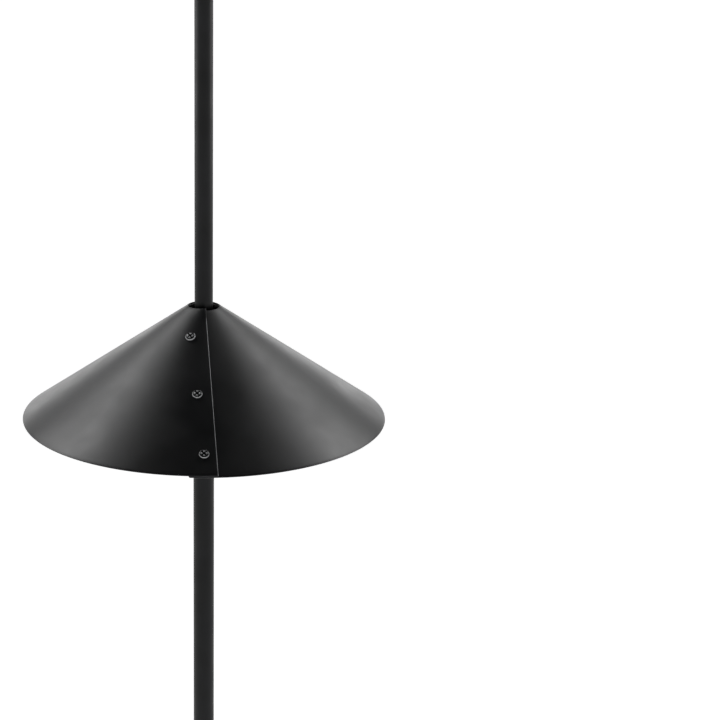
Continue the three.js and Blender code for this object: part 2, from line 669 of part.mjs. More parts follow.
// ---------------------------------------------------------------- feeder flange
function flangePlate() {
  const shape = new THREE.Shape().absarc(0, 0, FLANGE_RADIUS, 0, TAU);
  for (let i = 0; i < FLANGE_HOLE_COUNT; i += 1) {
    const angle = ((i + 0.5) * TAU) / FLANGE_HOLE_COUNT;
    const [x, y] = [FLANGE_HOLE_CIRCLE * Math.cos(angle), FLANGE_HOLE_CIRCLE * Math.sin(angle)];
    shape.holes.push(roundHole(FLANGE_HOLE_RADIUS, x, y));
  }
  return plate(shape, FLANGE_THICKNESS);
}

function flangeSocket() {
  const inner = UPPER_RADIUS + SLIDE_FIT;
  const outer = inner + FLANGE_SOCKET_WALL;
  const knee = FLARE_KNEE * FLANGE_FLARE;
  const socket = turned([
    [outer, poleTop - FLANGE_SOCKET_LENGTH],
    [outer, poleTop - FLANGE_FLARE],
    [outer + knee, poleTop - knee],
    [outer + FLANGE_FLARE, poleTop],
    [inner, poleTop],
    [inner, poleTop - FLANGE_SOCKET_LENGTH],
    [outer, poleTop - FLANGE_SOCKET_LENGTH],
  ]);
  return cut(socket, [setScrewHole(poleTop - FLANGE_SCREW_DROP)]);
}

function addFlange(parent) {
  addPart(parent, 'flange_plate', flangePlate().translate(0, 0, poleTop + SEAT_GAP), poleEnamel);
  addPart(parent, 'flange_socket', flangeSocket(), poleEnamel);
  const socketRadius = UPPER_RADIUS + SLIDE_FIT + FLANGE_SOCKET_WALL;
  addSetScrew(parent, 'flange_lock', poleTop - FLANGE_SCREW_DROP, UPPER_RADIUS, socketRadius);
}

// ---------------------------------------------------------------- assembly
const feederPole = new THREE.Group();
addGroundBase(feederPole);
addPart(feederPole, 'lower_pole', lowerPole(), poleEnamel);
addPart(feederPole, 'pole_ferrule', ferrule(), blackNylon);
addPoleLock(feederPole);
addPart(feederPole, 'upper_pole', upperPole(), poleEnamel);
addFlange(feederPole);
addCollar(feederPole);
addHub(feederPole);
addBaffle(feederPole);

export default feederPole;
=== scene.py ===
"""Black cone squirrel baffle on a telescoping garden pole: finished surfaces, studio and camera.

The packed model gives every size that a piece must keep, and the property groups below hold the
sizes and colours that belong to the finish. Lengths inside the shape functions are millimetres,
and each mesh is scaled to metres once, when it is made.
"""

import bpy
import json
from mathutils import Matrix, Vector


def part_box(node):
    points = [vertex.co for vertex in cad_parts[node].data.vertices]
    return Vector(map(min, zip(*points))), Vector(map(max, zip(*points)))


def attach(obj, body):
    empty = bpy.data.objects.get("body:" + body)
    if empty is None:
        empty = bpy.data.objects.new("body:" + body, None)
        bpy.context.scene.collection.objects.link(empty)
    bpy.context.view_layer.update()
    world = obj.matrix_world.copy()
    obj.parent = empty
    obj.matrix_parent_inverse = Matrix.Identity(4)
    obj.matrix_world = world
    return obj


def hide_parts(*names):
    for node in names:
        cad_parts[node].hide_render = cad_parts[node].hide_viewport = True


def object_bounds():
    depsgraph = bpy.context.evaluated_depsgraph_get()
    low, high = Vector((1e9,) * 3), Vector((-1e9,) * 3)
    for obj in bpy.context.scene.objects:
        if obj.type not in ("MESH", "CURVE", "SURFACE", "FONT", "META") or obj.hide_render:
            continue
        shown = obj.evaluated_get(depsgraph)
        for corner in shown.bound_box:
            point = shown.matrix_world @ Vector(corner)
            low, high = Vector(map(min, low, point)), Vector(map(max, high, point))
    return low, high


bl_info = {
    "name": "Squirrel Baffle on Garden Pole",
    "version": (1, 0, 0),
    "blender": (4, 5, 0),
    "location": "View3D > Sidebar > Baffle Pole",
    "description": "Builds a cone baffle, its telescoping pole, hardware and a studio",
    "category": "Object",
}

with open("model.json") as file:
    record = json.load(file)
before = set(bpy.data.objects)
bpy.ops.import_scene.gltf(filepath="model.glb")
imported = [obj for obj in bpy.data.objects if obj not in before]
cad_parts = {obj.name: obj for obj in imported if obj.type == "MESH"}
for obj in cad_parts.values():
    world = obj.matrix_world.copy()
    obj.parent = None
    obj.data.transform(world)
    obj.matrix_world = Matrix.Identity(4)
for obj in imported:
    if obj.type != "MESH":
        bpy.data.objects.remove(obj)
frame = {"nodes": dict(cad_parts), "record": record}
cad_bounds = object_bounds()

import json
import math

import bmesh
import bpy
import numpy as np
from bpy.props import FloatProperty, FloatVectorProperty, IntProperty, PointerProperty
from mathutils import Vector

MM = 0.001
TAU = 2 * math.pi
SAME_POINT = 2e-6  # points closer than this are one (m)
FLAT = math.radians(0.5)  # faces that turn less than this are one flat face


# ---------------------------------------------------------------- colours
def linear_channel(value):
    """sRGB to linear light: a straight toe below 0.04045, then a power of 2.4."""
    return value / 12.92 if value <= 0.04045 else ((value + 0.055) / 1.055) ** 2.4


def colour(hex_text):
    """An sRGB hex colour such as 1c1d20 as linear red, green and blue."""
    return tuple(linear_channel(int(hex_text[i:i + 2], 16) / 255) for i in (0, 2, 4))


def millimetres(name, description, default, **limits):
    """A length property in millimetres, which is the unit that Blender's camera lengths show."""
    return FloatProperty(name=name, description=description, default=default, unit="CAMERA", **limits)


def metres(name, description, default):
    """A length property in metres."""
    return FloatProperty(name=name, description=description, default=default, unit="LENGTH")


def degrees(name, description, default):
    """An angle property whose default is given in degrees."""
    return FloatProperty(name=name, description=description, default=math.radians(default), subtype="ANGLE")


def plain_number(name, description, default, **limits):
    """A plain number that can't be negative, such as a strength or a roughness."""
    return FloatProperty(name=name, description=description, default=default, min=0, **limits)


def paint(name, description, hex_text):
    """A colour property whose default is an sRGB hex value."""
    return FloatVectorProperty(
        name=name, description=description, subtype="COLOR", size=3, min=0, max=1, default=colour(hex_text)
    )


# ---------------------------------------------------------------- properties
class BaffleSettings(bpy.types.PropertyGroup):
    """Rolled sheet and its powder coat."""

    rim_radius: millimetres("Rim radius", "Radius of the cone's rim, inner face", 219.4, min=50)
    hole_radius: millimetres("Hole radius", "Radius of the hole round the pole", 18.4, min=5)
    slope: degrees("Slope", "Angle of the sheet to the ground", 34.77)
    sheet: millimetres("Sheet", "Thickness of the coated steel sheet", 0.8, min=0.2)
    layer_gap: millimetres("Layer gap", "Space between the overlapping ends", 0.3, min=0)
    seam_step: millimetres("Seam step", "How much lower the inner end of the sheet sits", 1.5)
    coat: paint("Coat", "Black polyester powder coat", "0b0c0e")
    coat_dusty: paint("Coat, dusty", "The same coat where fine dust lies on it", "141517")
    # Painted highlight: this pale colour is drawn along the sheet's cut edges where the lights catch them,
    # partly standing for steel showing through thin coat.
    coat_edge_highlight: paint("Coat edge", "Coat drawn thin over a cut edge, where the steel shines through", "c4c6c9")
    roughness: plain_number("Roughness", "Satin sheen of the coat", 0.36, max=1)
    grain: millimetres("Grain", "Size of the coat's orange-peel grain", 2.6, min=0.2)


class PoleSettings(bpy.types.PropertyGroup):
    """Tubes, base and flange in black enamel."""

    enamel: paint("Enamel", "Black stove enamel on drawn steel tube", "0a0b0c")
    enamel_worn: paint("Enamel, rubbed", "The same enamel where hands and tubes have rubbed it", "1b1c1f")
    roughness: plain_number("Roughness", "Satin sheen of the enamel", 0.42, max=1)
    sides: IntProperty(name="Sides", description="Faces round a pole", default=96, min=12)


class HardwareSettings(bpy.types.PropertyGroup):
    """Screws, nuts and moulded parts."""

    black_oxide: paint("Black oxide", "Blackened steel of the screw heads", "101113")
    # Painted glint: this near-white colour marks the screw heads' edge and four flecks between the recess
    # slots where the lights glint, partly standing for worn blackening.
    bare_steel_glint: paint("Bare steel", "Steel where the blackening has worn off an edge", "dfe1e3")
    zinc: paint("Zinc plate", "Bright zinc plate on nuts and washers", "b7babd")
    nylon: paint("Nylon", "Black glass-filled nylon", "121314")
    rubber: paint("Rubber", "Black grip rubber", "0b0b0b")
    edge_round: millimetres("Edge round", "Radius rounded onto the edges of moulded parts", 0.5, min=0)


class StudioSettings(bpy.types.PropertyGroup):
    """Floor, lights and camera."""

    floor: paint("Floor", "Matt white floor", "f4f4f4")
    glow: plain_number("Glow", "Light given off by the lit floor", 1.0)
    # Painted shade: the floor glows less at the object's foot, standing in for its contact shadow.
    painted_shade_at_foot: plain_number("Glow at foot", "The same light at the object's foot", 0.6)
    power: plain_number("Power", "Scales the power of every softbox", 1.0)
    backdrop: plain_number("Backdrop", "Strength of the lit backdrop behind", 1.1)
    pitch: degrees("Pitch", "How far the camera looks down", 17.45)
    distance: metres("Distance", "Camera to the pole's axis", 3.3)
    lens: millimetres("Lens", "Focal length on a 36 mm sensor", 135.9)
    shift: plain_number("Shift", "Sideways lens shift that frames the pole", 0.217)
    aim_rise: metres("Aim rise", "Height of the camera's aim above the rim", 0.0722)


SETTINGS = {
    "baffle_settings": BaffleSettings,
    "pole_settings": PoleSettings,
    "hardware_settings": HardwareSettings,
    "studio_settings": StudioSettings,
}


# ---------------------------------------------------------------- mesh tools
def surface(name, points, wrap_rows=True, wrap_columns=True, sharp=40, **fields):
    """Makes an object from a grid of points in millimetres, shaped (rows, columns, 3).

    Every cell of the grid is a quad. A wrapped direction joins its last line to its first, and
    points that coincide, as at a pole, are merged. Fields are values per point, kept as attributes.
    """
    rows, columns = points.shape[:2]
    index = np.arange(rows * columns).reshape(rows, columns)
    beside = np.roll(index, -1, axis=1)
    quads = np.stack([index, beside, np.roll(beside, -1, axis=0), np.roll(index, -1, axis=0)], axis=-1)
    quads = quads[: rows if wrap_rows else rows - 1, : columns if wrap_columns else columns - 1]
    mesh = bpy.data.meshes.new(name)
    mesh.from_pydata(points.reshape(-1, 3) * MM, [], quads.reshape(-1, 4).tolist())
    for field, values in fields.items():
        layer = mesh.attributes.new(field, "FLOAT", "POINT")
        layer.data.foreach_set("value", values.ravel().astype(np.float32))
    return finished(name, mesh, sharp)


def finished(name, mesh, sharp):
    """Merges doubles, points the faces outwards, and shades smooth apart from edges over sharp degrees."""
    cage = bmesh.new()
    cage.from_mesh(mesh)
    bmesh.ops.remove_doubles(cage, verts=cage.verts, dist=SAME_POINT)
    bmesh.ops.recalc_face_normals(cage, faces=cage.faces)
    cage.to_mesh(mesh)
    cage.free()
    mesh.shade_smooth()
    mesh.set_sharp_from_angle(angle=math.radians(sharp))
    piece = bpy.data.objects.new(name, mesh)
    bpy.context.scene.collection.objects.link(piece)
    return piece


def rounded(profile, radius, steps=5, closed=True):
    """Rounds the corners of an outline with a parabolic arc that starts radius away from each corner.

    A corner P between points A and B on its two sides becomes (1-t)^2 A + 2t(1-t) P + t^2 B. The
    setback is never more than 45% of the shorter side, and an open outline keeps its two ends.
    """
    corners = np.asarray(profile, float)
    before = np.roll(corners, 1, axis=0) - corners
    after = np.roll(corners, -1, axis=0) - corners
    shorter = np.minimum(np.linalg.norm(before, axis=1), np.linalg.norm(after, axis=1))
    setback = np.minimum(radius, 0.45 * shorter)
    if not closed:
        setback[[0, -1]] = 0
    start = corners + before / np.linalg.norm(before, axis=1)[:, None] * setback[:, None]
    end = corners + after / np.linalg.norm(after, axis=1)[:, None] * setback[:, None]
    t = np.linspace(0, 1, steps)[None, :, None]
    arcs = (1 - t) ** 2 * start[:, None] + 2 * t * (1 - t) * corners[:, None] + t**2 * end[:, None]
    return arcs.reshape(-1, 2)


def revolved(profile, sides):
    """Points of a profile of (radius, height) turned about Z, shaped (sides, profile points, 3)."""
    profile = np.asarray(profile, float)
    turn = np.arange(sides) * TAU / sides
    radius, height = profile[:, 0], profile[:, 1]
    x = np.cos(turn)[:, None] * radius
    y = np.sin(turn)[:, None] * radius
    return np.stack([x, y, np.broadcast_to(height, x.shape)], axis=-1)


def turned_matrix(about_x=0.0, about_y=0.0, about_z=0.0):
    """Rotation about X, then Y, then Z, as a 3 by 3 matrix."""
    cx, sx, cy, sy = math.cos(about_x), math.sin(about_x), math.cos(about_y), math.sin(about_y)
    cz, sz = math.cos(about_z), math.sin(about_z)
    x = np.array([[1, 0, 0], [0, cx, -sx], [0, sx, cx]])
    y = np.array([[cy, 0, sy], [0, 1, 0], [-sy, 0, cy]])
    z = np.array([[cz, -sz, 0], [sz, cz, 0], [0, 0, 1]])
    return z @ y @ x


def placed(points, place, turn=None):
    """Points turned by a 3 by 3 matrix and then moved."""
    turned = points if turn is None else points @ turn.T
    return turned + np.asarray(place, float)


def ring_piece(name, profile, sides, edge=0.3, place=(0, 0, 0), turn=None):
    """A closed ring: a rounded outline turned about its axis."""
    return surface(name, placed(revolved(rounded(profile, edge), sides), place, turn))


def spindle_piece(name, profile, sides, edge=0.3, place=(0, 0, 0), turn=None):
    """A solid that closes on its axis: an open outline, from the axis back to the axis, turned about it."""
    points = revolved(rounded(profile, edge, closed=False), sides)
    return surface(name, placed(points, place, turn), wrap_columns=False)


def tube_profile(inner, outer, low, high):
    """Outline of a plain ring: its two radii and its two levels."""
    return [(outer, low), (outer, high), (inner, high), (inner, low)]


def softened_copy(node, edge_round, sharp=35):
    """A copy of a CAD node with its triangles welded and its hard edges rounded by a bevel."""
    mesh = frame["nodes"][node].data.copy()
    mesh.materials.clear()
    cage = bmesh.new()
    cage.from_mesh(mesh)
    bmesh.ops.remove_doubles(cage, verts=cage.verts, dist=SAME_POINT)
    bmesh.ops.dissolve_limit(cage, angle_limit=FLAT, verts=cage.verts, edges=cage.edges)
    cage.to_mesh(mesh)
    cage.free()
    mesh.shade_smooth()
    mesh.set_sharp_from_angle(angle=math.radians(sharp))
    piece = bpy.data.objects.new(f"{node}_piece", mesh)
    bpy.context.scene.collection.objects.link(piece)
    bevel = piece.modifiers.new("edge round", "BEVEL")
    bevel.width = edge_round * MM
    bevel.segments = 2
    bevel.limit_method = "ANGLE"
    bevel.angle_limit = math.radians(sharp)
    bevel.use_clamp_overlap = True
    return piece


def box_mm(node):
    """Lowest and highest corner of a CAD node in millimetres."""
    low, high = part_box(node)
    return np.array(low) / MM, np.array(high) / MM


def body_of_node(node):
    """The moving body of the record that a CAD node belongs to."""
    bodies = frame["record"]["behaviour"]["bodies"]
    return next(body for body, nodes in bodies.items() if node in nodes)


# ---------------------------------------------------------------- material tools
def add_node(tree, kind, props=(), inputs=()):
    """Adds a node, sets its properties, and sets or links its inputs by name or number."""
    made = tree.nodes.new(kind)
    for name, value in dict(props).items():
        setattr(made, name, value)
    for key, value in dict(inputs).items():
        if isinstance(value, bpy.types.NodeSocket):
            tree.links.new(value, made.inputs[key])
        else:
            made.inputs[key].default_value = value
    return made


def new_material(name):
    """An empty node material with its output, its shader and the piece's own coordinates in metres."""
    made = bpy.data.materials.new(name)
    made.use_nodes = True
    tree = made.node_tree
    tree.nodes.clear()
    output = add_node(tree, "ShaderNodeOutputMaterial")
    shader = add_node(tree, "ShaderNodeBsdfPrincipled")
    tree.links.new(shader.outputs["BSDF"], output.inputs["Surface"])
    place = add_node(tree, "ShaderNodeTexCoord").outputs["Object"]
    return made, tree, shader, place


def noise(tree, place, size_mm, detail=3.0, roughness=0.5):
    """Noise whose features are about size_mm across."""
    return add_node(
        tree,
        "ShaderNodeTexNoise",
        inputs={"Vector": place, "Scale": 1 / (size_mm * MM), "Detail": detail, "Roughness": roughness},
    ).outputs["Fac"]


def remap(tree, value, low, high, to_low, to_high):
    """Straight-line change of a value from one range to another, clamped."""
    inputs = {"Value": value, "From Min": low, "From Max": high, "To Min": to_low, "To Max": to_high}
    return add_node(tree, "ShaderNodeMapRange", inputs=inputs).outputs["Result"]


def blend_colours(tree, amount, low, high):
    """Mixes two colours, given as linear rgb or as a socket."""
    mix = add_node(tree, "ShaderNodeMix", {"data_type": "RGBA"}, {0: amount})
    for key, value in ((6, low), (7, high)):
        if isinstance(value, bpy.types.NodeSocket):
            tree.links.new(value, mix.inputs[key])
        else:
            mix.inputs[key].default_value = (*value, 1.0)
    return mix.outputs[2]


def bump(tree, height, distance_mm, strength=1.0, below=None):
    """Bump of a given depth in millimetres, on top of another one if given."""
    inputs = {"Height": height, "Distance": distance_mm * MM, "Strength": strength}
    if below is not None:
        inputs["Normal"] = below
    return add_node(tree, "ShaderNodeBump", inputs=inputs).outputs["Normal"]


def attribute(tree, name):
    """A value per point that the piece's mesh carries."""
    return add_node(tree, "ShaderNodeAttribute", {"attribute_name": name}).outputs["Fac"]


def times(tree, first, second):
    """The product of two values."""
    return add_node(tree, "ShaderNodeMath", {"operation": "MULTIPLY"}, {0: first, 1: second}).outputs[0]


# ---------------------------------------------------------------- materials
def powder_coat(look):
    """Polyester powder coat, sprayed and baked: satin black, a fine orange-peel grain, a little dust,
    and a thin painted highlight line along the cut edges, partly standing for bare steel where the coat draws
    back."""
    made, tree, shader, place = new_material("powder_coat_black_satin")
    dust = remap(tree, noise(tree, place, 70, 4), 0.35, 0.7, 0, 1)
    body = blend_colours(tree, dust, look.coat, look.coat_dusty)
    # The edge attribute blends in the painted edge highlight colour.
    edge = attribute(tree, "edge")
    tree.links.new(blend_colours(tree, edge, body, look.coat_edge_highlight), shader.inputs["Base Color"])
    smear = remap(tree, noise(tree, place, 45, 3), 0.3, 0.7, look.roughness - 0.03, look.roughness + 0.05)
    tree.links.new(smear, shader.inputs["Roughness"])
    # The real grain is about 1 mm; it is drawn larger so that it shows at arm's length.
    peel = bump(tree, noise(tree, place, look.grain, 2), 0.03, 0.7)
    fine = bump(tree, noise(tree, place, look.grain / 4, 1), 0.004, 0.5, peel)
    tree.links.new(fine, shader.inputs["Normal"])
    shader.inputs["IOR"].default_value = 1.5
    return made


def pole_enamel(look):
    """Stove enamel over drawn steel tube: satin black with faint lengthwise draw lines and rubbed patches."""
    made, tree, shader, place = new_material("pole_enamel_black")
    stretch = add_node(tree, "ShaderNodeMapping", inputs={"Vector": place, "Scale": (1, 1, 0.02)}).outputs[0]
    lines = noise(tree, stretch, 1.5, 2)
    rubbed = remap(tree, noise(tree, place, 90, 5), 0.45, 0.75, 0, 1)
    tree.links.new(blend_colours(tree, rubbed, look.enamel, look.enamel_worn), shader.inputs["Base Color"])
    sheen = remap(tree, noise(tree, place, 30, 4), 0.3, 0.7, look.roughness - 0.04, look.roughness + 0.08)
    tree.links.new(sheen, shader.inputs["Roughness"])
    drawn = bump(tree, lines, 0.01, 0.4)
    tree.links.new(bump(tree, noise(tree, place, 2.0, 2), 0.012, 0.5, drawn), shader.inputs["Normal"])
    shader.inputs["IOR"].default_value = 1.5
    shader.inputs["Specular IOR Level"].default_value = 0.22
    return made


def blackened_steel(look):
    """Black oxide over rolled-thread steel: dark and half dull, with bright metal painted as glints on the
    head's edge and between its recess slots, partly standing for worn edges.
    """
    made, tree, shader, place = new_material("black_oxide_screw")
    speck = remap(tree, noise(tree, place, 0.8, 3), 0.35, 0.65, 0.75, 1.0)
    # Painted glints, partly standing for wear: the head's field from pan_head, broken up by speck, blends in
    # bright steel.
    bare_and_lit = times(tree, attribute(tree, "wear"), speck)
    tree.links.new(blend_colours(tree, bare_and_lit, look.black_oxide, look.bare_steel_glint), shader.inputs["Base Color"])
    tree.links.new(remap(tree, bare_and_lit, 0, 1, 0.45, 0.25), shader.inputs["Roughness"])
    tree.links.new(remap(tree, bare_and_lit, 0, 1, 0.35, 0.2), shader.inputs["Metallic"])
    tree.links.new(bump(tree, noise(tree, place, 0.5, 2), 0.01, 0.5), shader.inputs["Normal"])
    return made


def zinc_plate(look):
    """Zinc plate on pressed steel: pale grey metal, slightly clouded, with fine tumbling marks."""
    made, tree, shader, place = new_material("zinc_plated_steel")
    cloud = remap(tree, noise(tree, place, 5, 4), 0.3, 0.7, 0, 1)
    dull = tuple(0.55 * channel for channel in look.zinc)
    tree.links.new(blend_colours(tree, cloud, look.zinc, dull), shader.inputs["Base Color"])
    tree.links.new(remap(tree, cloud, 0, 1, 0.28, 0.45), shader.inputs["Roughness"])
    shader.inputs["Metallic"].default_value = 1.0
    tree.links.new(bump(tree, noise(tree, place, 0.6, 3), 0.01, 0.5), shader.inputs["Normal"])
    return made


def glass_filled_nylon(look):
    """Injection-moulded glass-filled nylon: matt black with a fine spark-eroded texture."""
    made, tree, shader, place = new_material("glass_filled_nylon_black")
    patch = remap(tree, noise(tree, place, 12, 3), 0.3, 0.7, 0, 1)
    paler = tuple(1.7 * channel for channel in look.nylon)
    tree.links.new(blend_colours(tree, patch, look.nylon, paler), shader.inputs["Base Color"])
    tree.links.new(remap(tree, patch, 0, 1, 0.5, 0.62), shader.inputs["Roughness"])
    tree.links.new(bump(tree, noise(tree, place, 0.7, 2), 0.03, 0.6), shader.inputs["Normal"])
    shader.inputs["IOR"].default_value = 1.53
    return made


def grip_rubber(look):
    """Moulded EPDM rubber: dull black with a faint bloom."""
    made, tree, shader, place = new_material("grip_rubber_black")
    bloom = remap(tree, noise(tree, place, 6, 4), 0.4, 0.7, 0, 1)
    paler = tuple(2.2 * channel for channel in look.rubber)
    tree.links.new(blend_colours(tree, bloom, look.rubber, paler), shader.inputs["Base Color"])
    tree.links.new(remap(tree, bloom, 0, 1, 0.8, 0.92), shader.inputs["Roughness"])
    tree.links.new(bump(tree, noise(tree, place, 1.0, 2), 0.03, 0.5), shader.inputs["Normal"])
    return made


MATERIAL_MAKERS = {
    "powder_coat": (powder_coat, "baffle_settings"),
    "pole_enamel": (pole_enamel, "pole_settings"),
    "black_screw": (blackened_steel, "hardware_settings"),
    "zinc_steel": (zinc_plate, "hardware_settings"),
    "black_nylon": (glass_filled_nylon, "hardware_settings"),
    "liner_rubber": (grip_rubber, "hardware_settings"),
}
made_materials = {}


def material_for(slot):
    """The material of a slot of the record, made the first time it is asked for."""
    if slot not in made_materials:
        maker, group = MATERIAL_MAKERS[slot]
        made_materials[slot] = maker(getattr(bpy.context.scene, group))
    return made_materials[slot]


def finish_as(piece, node, slot):
    """Lets a piece stand for one CAD node: same body, the record's slot, and that slot's material."""
    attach(piece, body_of_node(node))
    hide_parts(node)
    piece.data.materials.append(material_for(slot))


# ---------------------------------------------------------------- baffle cone
OUTER_EDGE = (math.radians(5.9), math.radians(3.6))  # free end of the sheet, at its hole and rim
INNER_EDGE = (math.radians(-24), math.radians(-21))  # end that lies underneath
SCREW_FROM_HOLE = 43.1
SCREW_FROM_RIM = 29.9
SCREW_ANGLES = (math.radians(-13.7), math.radians(0.1))
SEAM_SETS = 3
SHEET_COLUMNS = 720
SLOPE_STEPS = 61
EDGE_STEPS = 5
EDGE_HIGHLIGHT_FADE = 5.0  # length over which the painted highlight line on the outer end comes in
CORNER_SHADE = 14.0  # length of the outer end's top corner, which curls away and is left without the painted edge highlight, so the seam's top stays dark
CORNER_STOP = 18.2  # the inner end's lower corner is trimmed level up to here, left of the middle


def blank_point(slant, angle):
    """A point of the flat blank, slant millimetres from the cone's apex."""
    return np.stack(np.broadcast_arrays(slant * np.sin(angle), slant * np.cos(angle)), axis=-1)


def edge_azimuth(look, edge, slant):
    """Where a straight cut across the blank crosses a slant, as an azimuth on the rolled cone.

    The cut runs from its angle at the hole to its angle at the rim. The share of it reached at a
    slant solves |start + share * run| = slant, and rolling divides the angle by cos(slope).
    """
    hole, rim = look.hole_radius / math.cos(look.slope), look.rim_radius / math.cos(look.slope)
    start = blank_point(hole, edge[0])
    run = blank_point(rim, edge[1]) - start
    along, length = start @ run, run @ run
    share = (np.sqrt(np.maximum(along**2 + length * (slant**2 - hole**2), 0)) - along) / length
    point = start + share[..., None] * run
    return np.arctan2(point[..., 0], point[..., 1]) / math.cos(look.slope)


def cone_point(look, slant, azimuth, lift):
    """A point of the rolled sheet, measured from the cone's apex.

    The sheet winds inwards by one layer a turn and down the slope by the seam step, so that
    along = slant - turns * step and offset = lift + (1 + turns) * (sheet + gap).
    """
    turns = azimuth / TAU
    along = slant - turns * look.seam_step
    offset = lift + (1 + turns) * (look.sheet + look.layer_gap)
    radius = along * math.cos(look.slope) + offset * math.sin(look.slope)
    height = offset * math.cos(look.slope) - along * math.sin(look.slope)
    return np.stack([radius * np.sin(azimuth), -radius * np.cos(azimuth), height], axis=-1)


def seam_places(look):
    """Slant and azimuth of each seam screw, evenly spaced on a straight row of the blank."""
    hole, rim = look.hole_radius / math.cos(look.slope), look.rim_radius / math.cos(look.slope)
    first = blank_point(hole + SCREW_FROM_HOLE, SCREW_ANGLES[0])
    last = blank_point(rim - SCREW_FROM_RIM, SCREW_ANGLES[1])
    row = first + np.linspace(0, 1, SEAM_SETS)[:, None] * (last - first)
    return [(math.hypot(x, y), math.atan2(x, y) / math.cos(look.slope)) for x, y in row]


def section_loop(look):
    """Round trip across the sheet: (slant share, lift, slant shift, painted edge highlight amount) of each
    point.

    Down the outer face, round the rim, up the inner face and round the hole's edge. The two edges
    are half circles as thick as the sheet.
    """
    half = look.sheet / 2
    share = np.linspace(0, 1, SLOPE_STEPS)
    turn = np.linspace(0, math.pi, EDGE_STEPS + 2)[1:-1]
    # The ones on the rim and hole edges put the painted edge highlight there.
    flat, bare_and_lit = np.zeros(SLOPE_STEPS), np.ones(EDGE_STEPS)
    outer = np.stack([share, flat + look.sheet, flat, flat], axis=1)
    rim = np.stack([bare_and_lit, half + half * np.cos(turn), half * np.sin(turn), bare_and_lit], axis=1)
    inner = np.stack([share[::-1], flat, flat, flat], axis=1)
    hole = np.stack([0 * bare_and_lit, half - half * np.cos(turn), -half * np.sin(turn), bare_and_lit], axis=1)
    return np.concatenate([outer, rim, inner, hole])


def rolled_sheet(look, columns):
    """Grid of the whole sheet: columns from its inner end to its outer end, each one a section loop.

    Near an end the section's thickness closes as a half circle. The sheet is pulled in a little
    round each screw, and its free corner at the top stands off the layer below. The trim of the
    inner end's corner fades up the slope as the sixth power of the slant's share.
    """
    hole, rim = look.hole_radius / math.cos(look.slope), look.rim_radius / math.cos(look.slope)
    share, lift, shift, edge = section_loop(look).T
    slant = hole + (rim - hole) * share
    half = look.sheet / 2
    ends = np.radians([90, 60, 30, 0, 0])[:, None]
    inset = half * (1 - np.sin(ends)) + np.array([0, 0, 0, 0, half])[:, None]
    reach = inset / (slant[None] * math.cos(look.slope))
    first = edge_azimuth(look, INNER_EDGE, slant) - TAU + reach
    last = edge_azimuth(look, OUTER_EDGE, slant) - reach
    middle = first[-1] + np.linspace(0, 1, columns)[1:-1, None] * (last[-1] - first[-1])
    azimuth = np.concatenate([first, middle, last[::-1]])
    thick = np.concatenate([np.cos(ends), np.ones((columns - 2, 1)), np.cos(ends)[::-1]])
    # Painted highlight along the cut edges of both ends, left off their top CORNER_SHADE millimetres so the
    # seam's top stays dark.
    bright = np.array([1, 1, 1, 0.5, 0])
    end_edge_highlight = np.concatenate([bright, np.zeros(columns - 2), bright[::-1]])[:, None]
    end_edge_highlight = end_edge_highlight * np.clip((slant - hole - CORNER_SHADE) / EDGE_HIGHLIGHT_FADE, 0, 1)
    raised = half + (lift[None] - half) * thick
    raised = raised - dimples(look, slant, azimuth) + free_corner(look, slant, azimuth)
    trimmed = slant - share**6 * corner_trim(look, azimuth)
    points = cone_point(look, trimmed + shift * thick, azimuth, raised)
    # The second grid returned is the painted edge highlight of each point.
    return points, np.maximum(edge[None] * rim_highlight(azimuth), end_edge_highlight)


def rim_highlight(azimuth, place=math.radians(52), spread=math.radians(24)):
    """Share of painted edge highlight at an azimuth, partly standing for bare steel: a little all round, and
    a bell curve up to 1 on the right where the lights catch the rim.
    """
    away = np.mod(azimuth - place + math.pi, TAU) - math.pi
    return 0.12 + 0.88 * np.exp(-((away / spread) ** 2))


def stop_azimuth(look):
    """Azimuth on the inner end up to which its lower corner is trimmed."""
    return -math.asin(CORNER_STOP / look.rim_radius) - TAU


def corner_trim(look, azimuth):
    """How much shorter the inner end's rim is, so that it doesn't hang below the outer layer.

    It is the seam step plus what one layer's depth takes down the slope, up to CORNER_STOP.
    """
    hang = look.seam_step + (look.sheet + look.layer_gap) / math.tan(look.slope)
    return np.where(azimuth < stop_azimuth(look), hang, 0)


def dimples(look, slant, azimuth, depth=0.16, width=13.0):
    """Shallow hollows round the screws: depth times a bell curve of the distance over the sheet."""
    sunk = 0
    for screw_slant, screw_azimuth in seam_places(look):
        turn = np.mod(azimuth - screw_azimuth + math.pi, TAU) - math.pi
        across = turn * math.cos(look.slope) * screw_slant
        sunk = sunk + depth * np.exp(-(across**2 + (slant - screw_slant) ** 2) / width**2)
    return sunk


def free_corner(look, slant, azimuth, rise=1.7, down=CORNER_SHADE, along=11.0):
    """How far the outer end stands off near the hole: a bell curve down the slope and back from the edge."""
    hole = look.hole_radius / math.cos(look.slope)
    back = (edge_azimuth(look, OUTER_EDGE, slant) - azimuth) * slant * math.cos(look.slope)
    return rise * np.exp(-(((slant - hole) / down) ** 2) - (back / along) ** 2)


def cone_apex(look):
    """Height of the cone's apex, from the lowest point of the CAD sheet's rim."""
    lowest = cone_point(look, look.rim_radius / math.cos(look.slope), stop_azimuth(look), 0.0)[2]
    return box_mm("baffle_cone")[0][2] - lowest


class GARDEN_OT_baffle_cone(bpy.types.Operator):
    """Roll the powder-coated sheet into the cone, with its overlap at the front"""

    bl_idname = "garden.baffle_cone"
    bl_label = "Baffle Cone"

    def execute(self, context):
        look = context.scene.baffle_settings
        points, edge = rolled_sheet(look, SHEET_COLUMNS)
        points = placed(points, (0, 0, cone_apex(look)))
        # The edge field carries the painted highlight along the sheet's cut edges.
        sheet = surface("baffle_sheet", points, wrap_rows=False, sharp=80, edge=edge)
        finish_as(sheet, "baffle_cone", "powder_coat")
        return {"FINISHED"}


